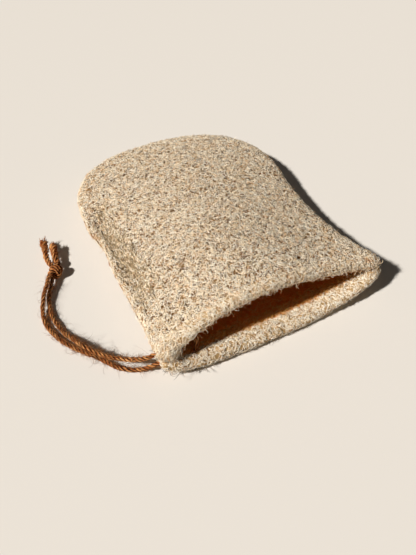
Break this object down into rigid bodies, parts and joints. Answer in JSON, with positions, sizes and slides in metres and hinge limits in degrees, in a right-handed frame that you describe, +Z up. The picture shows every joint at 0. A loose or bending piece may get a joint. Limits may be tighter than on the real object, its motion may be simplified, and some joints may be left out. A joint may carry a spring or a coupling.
{
  "type": "natural loofah bath mitt with twine hanging loop",
  "caption": "Flat rounded bath mitt of natural loofah sheets, sewn round the edge with an open mouth for the hand and a knotted jute twine hanging loop at one corner.",
  "frame": {"origin": "under the middle of the mitt's own box, on the surface it lies on, the twine left out", "axes": "+Z up, +Y from the open mouth to the closed rounded end, +X to the right seen from the mouth, the twine on the -X side"},
  "size_m": [0.1702, 0.1671, 0.0326],
  "materials": {
    "loofah_upper": "dry rough net of pale straw-coloured plant fibres",
    "loofah_lower": "dry rough net of pale straw-coloured plant fibres",
    "sewing_thread": "matt cotton thread",
    "jute_twine": "matt fuzzy twisted jute, orange-brown"
  },
  "bodies": {
    "root": {"upper_panel": "loofah_upper", "lower_panel": "loofah_lower", "seam_thread": "sewing_thread", "cord_loop": "jute_twine", "cord_knot": "jute_twine", "cord_tail_long": "jute_twine", "cord_tail_short": "jute_twine"}
  },
  "joints": []
}
